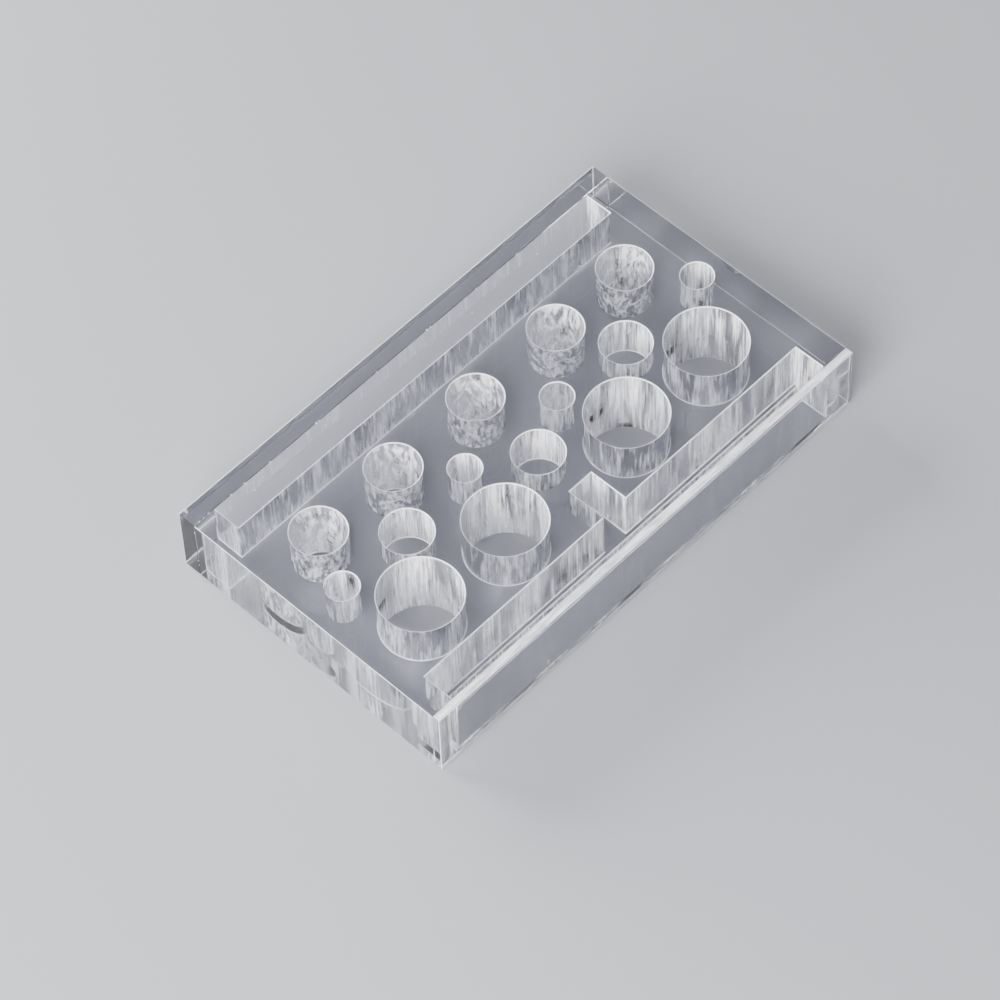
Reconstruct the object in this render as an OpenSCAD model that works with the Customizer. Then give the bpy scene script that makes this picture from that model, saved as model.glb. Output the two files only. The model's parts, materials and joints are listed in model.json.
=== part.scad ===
// Clear acrylic holder block: a thick machined block with three rows of round
// wells and two long slots. Each slot is cut open to a long face of the block
// and closed by a strip of thinner sheet bonded along that face.
// Origin at the centre of the footprint on the underside. X runs along the
// length, Y from the front strip to the back strip, Z up.

/* [Overall] */
// Length of the block and of both strips
block_l = 105; // [95:0.5:140]
// Width over both strips
overall_w = 62.7; // [59:0.1:80]
// Height, the thickness of the sheet that the block is cut from
block_h = 15; // [13:0.5:25]

/* [Bonded strips] */
// Thickness of the front strip
front_rail_t = 1.6; // [1:0.1:3]
// Thickness of the back strip
back_rail_t = 3.8; // [2:0.1:5]

/* [Front slot] */
// Wall of the block left at the left end of the slot
front_slot_left_wall = 4.9; // [3:0.1:8]
// Wall of the block left at the right end of the slot
front_slot_right_wall = 6; // [3:0.1:8]
// Clear width of the slot, from the strip to its far wall
front_slot_w = 6.5; // [5:0.1:7.8]
// Thickness left under the narrow ledge and under the notch
front_slot_floor = 4.4; // [2:0.1:8]
// Width of the ledge along the far wall; in front of it the slot is deeper
ledge_w = 0.9; // [0.5:0.1:2]
// Thickness left under the deeper part of the slot
groove_floor = 1.2; // [0.8:0.1:1.9]
// Width of the notch in the far wall of the slot
notch_w = 5.5; // [4.5:0.1:8]
// How far the notch runs back from the far wall of the slot
notch_depth = 8.1; // [5:0.1:9]
// Place of the notch's centre along the length, from the left end
notch_x = 52; // [50:0.1:53]

/* [Back slot] */
// Wall of the block left at the left end of the slot
back_slot_left_wall = 5; // [3:0.1:8]
// Wall of the block left at the right end of the slot
back_slot_right_wall = 5.9; // [3:0.1:8]
// Clear width of the slot, from its near wall to the strip
back_slot_w = 5.9; // [4.5:0.1:7.5]

/* [Wells] */
// Diameter of the four largest holes, which go right through
large_d = 15.3; // [10:0.1:15.5]
// Diameter of the three medium wells
medium_d = 9.6; // [6:0.1:9.8]
// Floor left under the medium wells
medium_floor = 6.4; // [1:0.1:8]
// Diameter of the four smallest wells
small_d = 6.1; // [4:0.1:7]
// Floor left under the smallest wells
small_floor = 3.5; // [1:0.1:8]
// Diameter of the five wells of the back row
back_row_d = 10.3; // [7:0.1:12]
// Floor left under the back row of wells
back_row_floor = 1.2; // [0.8:0.1:8]

/* [Hidden] */
$fn = 96;
// How far each cutter runs past the face that it opens
over = 1;
// The block fills the width between the two strips
front_y = front_rail_t - overall_w / 2;
back_y = overall_w / 2 - back_rail_t;
left_x = -block_l / 2;
// Far wall of the front slot and near wall of the back slot
front_slot_y = front_y + front_slot_w;
back_slot_y = back_y - back_slot_w;
// The rows of wells are spaced over the web that the two slots leave, and
// along the length: each centre is [share of the length, share of the web].
web_y = front_slot_y;
web_w = back_slot_y - front_slot_y;
large_at = [[0.156, 0.272], [0.356, 0.272], [0.651, 0.275], [0.851, 0.279]];
medium_at = [[0.230, 0.511], [0.492, 0.398], [0.757, 0.509]];
small_at = [[0.081, 0.516], [0.386, 0.554], [0.597, 0.529], [0.944, 0.527]];
back_row_at = [[0.132, 0.763], [0.307, 0.763], [0.503, 0.761], [0.700, 0.764], [0.873, 0.767]];

// Round wells of one size, drilled from the top down to a floor
module wells(centres, d, floor_t) {
    for (c = centres)
        translate([left_x + c[0] * block_l, web_y + c[1] * web_w, floor_t])
            cylinder(d = d, h = block_h - floor_t + over);
}

// Cut inwards from the front face, from the top down to a floor
module front_cut(width, floor_t) {
    slot_l = block_l - front_slot_left_wall - front_slot_right_wall;
    translate([left_x + front_slot_left_wall, front_y - over, floor_t])
        cube([slot_l, width + over, block_h - floor_t + over]);
}

// The slot leaves a narrow ledge along its far wall
module front_slot() {
    front_cut(front_slot_w, front_slot_floor);
    front_cut(front_slot_w - ledge_w, groove_floor);
}

// Square-ended notch that opens into the slot, level with its ledge
module notch() {
    translate([left_x + notch_x - notch_w / 2, front_y, front_slot_floor])
        cube([notch_w, front_slot_w + notch_depth, block_h - front_slot_floor + over]);
}

// Cut along the back face and right through the height
module back_slot() {
    slot_l = block_l - back_slot_left_wall - back_slot_right_wall;
    translate([left_x + back_slot_left_wall, back_slot_y, -over])
        cube([slot_l, back_slot_w + over, block_h + 2 * over]);
}

module block() {
    color("gainsboro", 0.5)
        difference() {
            translate([left_x, front_y, 0])
                cube([block_l, back_y - front_y, block_h]);
            front_slot();
            notch();
            back_slot();
            wells(large_at, large_d, -over);
            wells(medium_at, medium_d, medium_floor);
            wells(small_at, small_d, small_floor);
            wells(back_row_at, back_row_d, back_row_floor);
        }
}

// A strip of sheet on edge, as long and as high as the block
module rail(near_y, thickness) {
    translate([left_x, near_y, 0])
        cube([block_l, thickness, block_h]);
}

module front_rail() {
    color("lavender", 0.5)
        rail(-overall_w / 2, front_rail_t);
}

module back_rail() {
    color("lavender", 0.5)
        rail(back_y, back_rail_t);
}

block();
front_rail();
back_rail();
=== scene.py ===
import json
import math

import bpy
from mathutils import Matrix, Vector


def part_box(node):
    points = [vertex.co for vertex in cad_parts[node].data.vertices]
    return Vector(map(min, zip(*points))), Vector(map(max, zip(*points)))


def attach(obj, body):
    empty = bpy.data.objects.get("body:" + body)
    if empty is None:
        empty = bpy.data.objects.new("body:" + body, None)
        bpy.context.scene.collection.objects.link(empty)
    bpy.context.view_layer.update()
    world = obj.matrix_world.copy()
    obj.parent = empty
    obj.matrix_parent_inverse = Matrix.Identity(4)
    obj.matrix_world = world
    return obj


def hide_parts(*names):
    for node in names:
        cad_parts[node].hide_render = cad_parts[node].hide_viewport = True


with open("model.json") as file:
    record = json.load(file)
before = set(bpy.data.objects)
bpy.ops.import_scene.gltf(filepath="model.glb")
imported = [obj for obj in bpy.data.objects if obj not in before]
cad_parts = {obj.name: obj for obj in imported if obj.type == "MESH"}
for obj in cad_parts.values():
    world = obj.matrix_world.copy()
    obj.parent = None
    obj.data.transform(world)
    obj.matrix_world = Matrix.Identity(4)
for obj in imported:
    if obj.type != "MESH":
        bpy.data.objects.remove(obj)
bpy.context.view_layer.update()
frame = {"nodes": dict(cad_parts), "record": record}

# ---------------------------------------------------------------------------
# The block: one thick piece of clear cast acrylic sheet, sawn to length, with
# the wells bored and the slots milled into it. Its sharp edges are broken
# with a scraper; the strips are cemented to its long faces.
# ---------------------------------------------------------------------------
mm = 0.001
arris = 0.16 * mm            # flat that the scraper leaves on an edge
touch = 0.004 * mm           # a face this near a plane lies in it
square_on = 0.98             # a normal this close to an axis belongs to a main face
scene = bpy.context.scene
record = frame["record"]
block_low, block_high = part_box("block")
top_z = block_high[2]


def take_up(*pieces):
    """Selects these pieces and nothing else, and makes the first one active."""
    for other in bpy.context.selected_objects:
        other.select_set(False)
    for piece in pieces:
        piece.select_set(True)
    if pieces:
        bpy.context.view_layer.objects.active = pieces[0]


def broken_edges(node_name, piece_name, width):
    """A copy of a CAD node, merged, with its sharp edges broken."""
    piece = bpy.data.objects.new(piece_name, frame["nodes"][node_name].data.copy())
    scene.collection.objects.link(piece)
    piece.data.materials.clear()
    take_up(piece)
    bpy.ops.object.mode_set(mode="EDIT")
    bpy.ops.mesh.select_all(action="SELECT")
    bpy.ops.mesh.remove_doubles(threshold=0.001 * mm)
    bpy.ops.mesh.dissolve_limited(angle_limit=math.radians(0.5))
    bpy.ops.object.mode_set(mode="OBJECT")
    bevel = piece.modifiers.new("arris", "BEVEL")
    bevel.width = width
    bevel.segments = 2
    bevel.limit_method = "ANGLE"
    bevel.angle_limit = math.radians(40)
    bpy.ops.object.modifier_apply(modifier="arris")
    bpy.ops.object.shade_smooth_by_angle(angle=math.radians(12))
    return piece


block = broken_edges("block", "machined_block", arris)


def linear(hex_colour):
    """An sRGB hex colour as the linear values that a shader takes."""
    parts = [int(hex_colour[i:i + 2], 16) / 255 for i in (1, 3, 5)]
    return tuple(p / 12.92 if p <= 0.04045 else ((p + 0.055) / 1.055) ** 2.4 for p in parts) + (1.0,)


def add(tree, kind, inputs, output=0, **settings):
    """Adds a node with its settings and its links, and gives back one output."""
    node = tree.nodes.new("ShaderNode" + kind)
    for name, value in settings.items():
        setattr(node, name, value)
    for socket, value in inputs.items():
        if isinstance(value, bpy.types.NodeSocket):
            tree.links.new(value, node.inputs[socket])
        else:
            node.inputs[socket].default_value = value
    return node.outputs[output] if node.outputs else None


def acrylic(name, mark_mm, stretch, rough, relief_mm, haze=(0.0, 0.0), swell=None, alpha=1.0):
    """Clear cast acrylic (PMMA) with tool marks mark_mm wide, drawn out along the
    axes whose stretch is small. rough and haze each go from the clean surface to
    the deepest mark; haze is the share of light that scatters. swell is a wider
    wave in the marks: its width in mm, its stretch and how much it wanders."""
    material = bpy.data.materials.new(name)
    material.use_nodes = True
    tree = material.node_tree
    tree.nodes.clear()
    here = add(tree, "TexCoord", {}, "Object")
    drawn = add(tree, "Mapping", {"Vector": here, "Scale": stretch})
    marks = add(tree, "TexNoise", {
        "Vector": drawn, "Scale": 1 / (mark_mm * mm), "Detail": 4.0, "Roughness": 0.6})
    if swell:
        swell_mm, swell_stretch, wander = swell
        wide = add(tree, "Mapping", {"Vector": here, "Scale": swell_stretch})
        wave = add(tree, "TexNoise", {
            "Vector": wide, "Scale": 1 / (swell_mm * mm), "Detail": 2.0, "Distortion": wander})
        marks = add(tree, "Mix", {0: 0.5, 2: marks, 3: wave}, data_type="FLOAT")
    deep = add(tree, "MapRange", {"Value": marks, "From Min": 0.44, "From Max": 0.58})
    roughness = add(tree, "Mix", {0: deep, 2: rough[0], 3: rough[1]}, data_type="FLOAT")
    clear = add(tree, "Mix", {0: deep, 2: 1 - haze[0], 3: 1 - haze[1]}, data_type="FLOAT")
    bump = add(tree, "Bump", {"Height": marks, "Distance": relief_mm * mm, "Strength": 1.0})
    shader = add(tree, "BsdfPrincipled", {
        "Base Color": linear("#F4F4FA"), "IOR": 1.49, "Roughness": roughness,
        "Transmission Weight": clear, "Alpha": alpha, "Normal": bump})
    add(tree, "OutputMaterial", {"Surface": shader})
    return material


# Cast sheet, IOR 1.49: as glossy as glass, with faint wipe marks.
sheet_face = acrylic("acrylic_cast_face", 6.0, (1, 0.3, 1), (0.0, 0.05), 0.004)
# Sawn and scraped end: clear, with shallow upright scraper lines.
end_face = acrylic("acrylic_scraped_end", 1.4, (1, 1, 0.06), (0.03, 0.14), 0.03)
# Milled slot walls and bored wells: upright streaks that catch the light.
milled_wall = acrylic("acrylic_milled_wall", 0.5, (1, 1, 0.05), (0.04, 0.3), 0.25,
                      haze=(0.0, 0.62), swell=(2.4, (1, 1, 0.12), 0.5))
# Back row of wells: swirled chatter marks, wider and deeper than the streaks.
chatter_wall = acrylic("acrylic_chattered_bore", 0.8, (1, 1, 0.25), (0.03, 0.26), 0.4,
                       haze=(0.0, 0.62), swell=(3.2, (1, 1, 0.4), 2.5))
# Floors left by a flat cutter: smooth, slightly matt.
cut_floor = acrylic("acrylic_cut_floor", 0.8, (1, 1, 1), (0.05, 0.16), 0.01)
# Solvent cement melts the two faces into one, so a bonded face is not seen.
bonded_face = acrylic("acrylic_bonded_face", 1.0, (1, 1, 1), (0.0, 0.0), 0.0, alpha=0.0)
# Edge broken with a scraper: a narrow frosted flat that shows as a white line.
scraped_arris = acrylic("acrylic_scraped_arris", 0.6, (1, 1, 1), (0.3, 0.5), 0.02, haze=(0.55, 0.9))

finishes = [sheet_face, end_face, milled_wall, chatter_wall, cut_floor, bonded_face, scraped_arris]
for finish in finishes:
    block.data.materials.append(finish)
back_row_y = next(m["pos_m"][1] for m in record["mounts"] if m["name"] == "back_row_well_1")
back_row_reach = 5.4 * mm    # a little over the radius of the back row's wells
for face in block.data.polygons:
    x, y, z = face.center
    level = abs(face.normal.z) > square_on
    if abs(face.normal.z) > 0.1 and not level:
        at_bond = y < block_low[1] + 2 * arris or y > block_high[1] - 2 * arris
        finish = sheet_face if at_bond else scraped_arris
    elif level and (z > top_z - touch or z < touch):
        finish = sheet_face
    elif level:
        finish = cut_floor
    elif abs(x) > block_high[0] - touch:
        finish = end_face
    elif y < block_low[1] + touch or y > block_high[1] - touch:
        finish = bonded_face
    elif abs(y - back_row_y) < back_row_reach and z < top_z - arris:
        finish = chatter_wall
    else:
        finish = milled_wall
    face.material_index = finishes.index(finish)
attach(block, "root")
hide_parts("block")


# ---------------------------------------------------------------------------
# The front strip: thin clear sheet on edge, cemented along the whole front of
# the block, so that it closes the front slot. Its long edges are as they came
# off the saw, frosted white; its faces are cast gloss.
# ---------------------------------------------------------------------------
front_strip = broken_edges("front_rail", "front_strip", 0.1 * mm)
front_low, front_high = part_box("front_rail")
openings = {o["name"]: o["box_m"] for o in record["physics"]["openings"]}
clearance = 0.05 * mm        # the openings stop this far short of the acrylic
groove_low, groove_high = openings["front_slot_groove"]
groove_left = groove_low[0] - clearance
groove_right = groove_high[0] + clearance
groove_floor = groove_low[2] - clearance
slice_tolerance = 0.0001 * mm
axis_x, axis_z = 0, 2


def part_inner_face(piece, cuts):
    """Cuts a strip across at each (axis, place), so that its inner face can be
    bonded where the block touches it and clear over the slot."""
    take_up(piece)
    bpy.ops.object.mode_set(mode="EDIT")
    for axis, place in cuts:
        bpy.ops.mesh.select_all(action="SELECT")
        bpy.ops.mesh.bisect(plane_co=[place if i == axis else 0 for i in range(3)],
                            plane_no=[float(i == axis) for i in range(3)], threshold=slice_tolerance)
    bpy.ops.object.mode_set(mode="OBJECT")


part_inner_face(front_strip, [(axis_x, groove_left), (axis_x, groove_right), (axis_z, groove_floor)])
# Saw-cut edge: coarse lengthwise saw marks, frosted white.
sawn_edge = acrylic("acrylic_sawn_edge", 0.4, (0.1, 1, 1), (0.3, 0.55), 0.06, haze=(0.3, 0.65))
finishes = [sheet_face, end_face, sawn_edge, bonded_face, scraped_arris]
for finish in finishes:
    front_strip.data.materials.append(finish)
for face in front_strip.data.polygons:
    x, y, z = face.center
    over_slot = groove_left < x < groove_right and z > groove_floor
    if max(abs(n) for n in face.normal) < square_on:
        finish = scraped_arris if y < front_low[1] + arris else sheet_face
    elif abs(face.normal.z) > 0.5:
        finish = sawn_edge
    elif abs(face.normal.x) > 0.5:
        finish = end_face
    elif y > front_high[1] - touch and not over_slot:
        finish = bonded_face
    else:
        finish = sheet_face
    face.material_index = finishes.index(finish)
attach(front_strip, "root")
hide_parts("front_rail")

# Solvent cement that ran down the inside of the strip and set there, with a
# bead where the run began, and two drops at the ends of the slot. Tiny bubbles
# in it make it milky.
cement = acrylic("acrylic_set_cement", 0.3, (1, 1, 1), (0.05, 0.25), 0.03, haze=(0.45, 0.9))


def cement_drop(place, size_mm, slice_y, keep_behind, run_down=0):
    """A drop of set cement: a ball whose foot runs down or settles flat, sliced
    upright at slice_y, with the half in front of or behind the slice kept."""
    size = [half * mm for half in size_mm]
    take_up()
    bpy.ops.mesh.primitive_uv_sphere_add(segments=20, ring_count=12, radius=1, location=place, scale=size)
    drop = bpy.context.object
    bpy.ops.object.transform_apply(location=True, rotation=True, scale=True)
    for corner in drop.data.vertices:
        corner.select = corner.co.z < place[2] - 0.3 * size[2]
    bpy.ops.object.mode_set(mode="EDIT")
    bpy.ops.mesh.select_mode(type="VERT")
    if run_down:
        bpy.ops.transform.translate(value=(0, 0, -run_down))
        bpy.ops.transform.resize(value=(0.45, 0.45, 1), center_override=place)
    else:
        bpy.ops.transform.resize(value=(1.1, 1.1, 0.6), center_override=place)
    bpy.ops.mesh.select_all(action="SELECT")
    bpy.ops.mesh.bisect(plane_co=(0, slice_y, 0), plane_no=(0, 1, 0), threshold=slice_tolerance,
                        use_fill=True, clear_inner=keep_behind, clear_outer=not keep_behind)
    bpy.ops.mesh.select_all(action="SELECT")
    bpy.ops.mesh.normals_make_consistent(inside=False)
    bpy.ops.object.mode_set(mode="OBJECT")
    bpy.ops.object.shade_smooth_by_angle(angle=math.radians(50))
    return drop


def one_piece(drops, name):
    """Joins drops into one piece of set cement that rides on the block."""
    take_up(*drops)
    bpy.ops.object.join()
    piece = drops[0]
    piece.name = name
    piece.data.materials.append(cement)
    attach(piece, "root")
    return piece


lift = 0.01 * mm             # keeps set cement just off the face that it is on
inner_y = front_high[1] + lift
run_x = -25.5 * mm
front_drops = [
    cement_drop((run_x, inner_y, 8.7 * mm), (0.75, 0.55, 0.7), inner_y, True, run_down=6.4 * mm),
    cement_drop((groove_low[0] + 0.5 * mm, inner_y, 12.6 * mm), (0.45, 0.5, 1.2), inner_y, True),
    cement_drop((groove_high[0] - 0.7 * mm, inner_y, 12.9 * mm), (0.55, 0.6, 1.0), inner_y, True)]
one_piece(front_drops, "front_cement")


# ---------------------------------------------------------------------------
# The back strip: thicker clear sheet on edge, cemented along the whole back
# of the block, so that it closes the back slot. Its long edges were scraped
# and polished nearly clear.
# ---------------------------------------------------------------------------
back_strip = broken_edges("back_rail", "back_strip", arris)
back_low, back_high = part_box("back_rail")
slot_low, slot_high = openings["back_slot"]
slot_left = slot_low[0] - clearance
slot_right = slot_high[0] + clearance
part_inner_face(back_strip, [(axis_x, slot_left), (axis_x, slot_right)])
finishes = [sheet_face, end_face, bonded_face, scraped_arris]
for finish in finishes:
    back_strip.data.materials.append(finish)
for face in back_strip.data.polygons:
    x, y, z = face.center
    if max(abs(n) for n in face.normal) < square_on:
        finish = scraped_arris if y > back_high[1] - 2 * arris else sheet_face
    elif abs(face.normal.x) > 0.5:
        finish = end_face
    elif y < back_low[1] + touch and not slot_left < x < slot_right:
        finish = bonded_face
    else:
        finish = sheet_face
    face.material_index = finishes.index(finish)
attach(back_strip, "root")
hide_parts("back_rail")

# Cement squeezed out along the top of the bond: one bead near the right end
# and scattered beads a few tenths across, and dust stuck on the slot face.
# Each bead is its place along the bond and half its length, and each speck of
# dust its place along the bond and its height, all in mm.
bond_y = back_low[1]
bead_z = top_z - 0.11 * mm
beads = [(40.0, 4.6), (-51.2, 0.16), (-50.1, 0.1), (-48.9, 0.22), (-43.5, 0.1), (-40.2, 0.14),
         (-34.0, 0.1), (-22.6, 0.18), (-21.9, 0.1), (-7.5, 0.1), (5.2, 0.24), (6.1, 0.12),
         (17.8, 0.1), (28.4, 0.15), (47.9, 0.3), (49.3, 0.15)]
dust = [(-38.0, 10.6), (-20.5, 12.1), (-12.4, 8.3), (2.0, 11.2), (3.1, 12.4), (16.5, 9.0),
        (24.2, 12.8), (33.6, 10.1)]
back_drops = []
for bead_x, half_length in beads:
    back_drops.append(cement_drop((bead_x * mm, bond_y, bead_z), (half_length, 0.13, 0.1),
                                  bond_y - mm, True))
for dust_x, dust_z in dust:
    back_drops.append(cement_drop((dust_x * mm, bond_y - lift, dust_z * mm), (0.13, 0.08, 0.13),
                                  bond_y - lift, False))
one_piece(back_drops, "back_cement")


# ---------------------------------------------------------------------------
# Floor, light and camera: a matt grey table, which the light makes pale, under
# an even white studio sky with two large soft boxes, seen from above the front
# left corner.
# ---------------------------------------------------------------------------
take_up()
bpy.ops.mesh.primitive_plane_add(size=4, location=(0, 0, 0))
floor = bpy.context.object
floor.name = "pale_floor"
for corner in floor.data.vertices:
    corner.co.z = -0.3 * mm  # an air gap, as under any real block on a table
board = bpy.data.materials.new("matt_painted_board")
board.use_nodes = True
tree = board.node_tree
tree.nodes.clear()
here = add(tree, "TexCoord", {}, "Object")
grain = add(tree, "TexNoise", {"Vector": here, "Scale": 1 / (1.5 * mm), "Detail": 3.0})
grain_bump = add(tree, "Bump", {"Height": grain, "Distance": 0.02 * mm, "Strength": 0.3})
paint = add(tree, "BsdfPrincipled", {
    "Base Color": linear("#85868B"), "Roughness": 0.75, "Normal": grain_bump})
add(tree, "OutputMaterial", {"Surface": paint})
floor.data.materials.append(board)

world = bpy.data.worlds.new("studio")
scene.world = world
world.use_nodes = True
sky = world.node_tree.nodes["Background"]
sky.inputs["Color"].default_value = linear("#F2F4FA")
sky.inputs["Strength"].default_value = 0.25


def soft_box(name, place_m, side_m, watts):
    """A square soft box that faces the block."""
    lamp = bpy.data.lights.new(name, "AREA")
    lamp.shape = "SQUARE"
    lamp.size = side_m
    lamp.energy = watts
    holder = bpy.data.objects.new(name, lamp)
    scene.collection.objects.link(holder)
    holder.location = place_m
    holder.rotation_euler = (-Vector(place_m)).to_track_quat("-Z", "Y").to_euler()


soft_box("side_box", (-0.6, -0.2, 0.45), 0.5, 28.0)
soft_box("back_box", (-0.1, 0.65, 0.25), 0.5, 20.0)

# The camera looks down at the block from beyond its front left corner.
turn = math.radians(44.25)
tilt = math.radians(54.9)
roll = math.radians(-2.53)
camera_place = (-0.3288, -0.3320, 0.6595)
forward = Vector((math.sin(turn) * math.cos(tilt), math.cos(turn) * math.cos(tilt), -math.sin(tilt)))
level_right = forward.cross(Vector((0, 0, 1))).normalized()
level_up = level_right.cross(forward)
right = math.cos(roll) * level_right + math.sin(roll) * level_up
up = -math.sin(roll) * level_right + math.cos(roll) * level_up
lens = bpy.data.cameras.new("view")
lens.sensor_width = 36
lens.lens = 164.1
lens.clip_start = 0.05
viewer = bpy.data.objects.new("view", lens)
scene.collection.objects.link(viewer)
turned = Matrix((right, up, -forward)).transposed().to_4x4()
viewer.matrix_world = Matrix.Translation(camera_place) @ turned
scene.camera = viewer

# Light crosses many acrylic faces before it comes out again.
scene.cycles.max_bounces = 24
scene.cycles.transmission_bounces = 24
